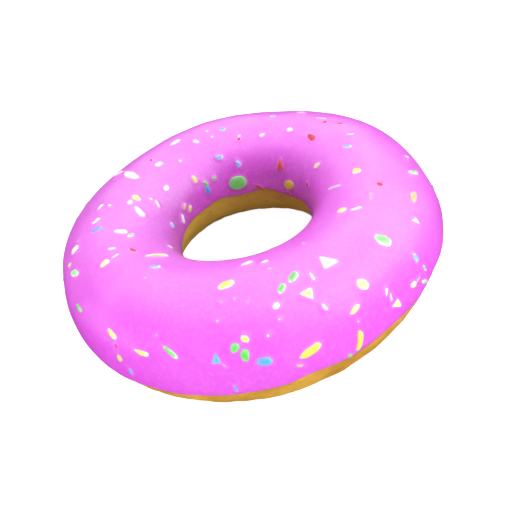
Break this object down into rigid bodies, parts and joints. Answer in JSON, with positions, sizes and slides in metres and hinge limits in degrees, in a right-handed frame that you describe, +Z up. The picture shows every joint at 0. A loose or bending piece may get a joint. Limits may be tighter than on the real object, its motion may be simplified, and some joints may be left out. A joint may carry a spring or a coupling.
{
  "type": "sprinkle frosted doughnut",
  "caption": "Ring doughnut of golden fried dough, dipped in glossy bright pink icing down to its middle and scattered with small coloured sugar sprinkles.",
  "frame": {"origin": "middle of the hole, on the flat surface that the doughnut rests on", "axes": "+Z up through the hole, +X towards the doughnut's right and +Y towards its back as it is usually seen"},
  "size_m": [0.0907, 0.09, 0.0273],
  "materials": {
    "dough": "matte",
    "icing": "gloss",
    "sprinkle_white": "satin",
    "sprinkle_yellow": "satin",
    "sprinkle_green": "satin",
    "sprinkle_blue": "satin",
    "sprinkle_red": "satin",
    "sprinkle_orange": "satin"
  },
  "bodies": {
    "root": {"dough": "dough", "icing": "icing"}
  },
  "joints": []
}
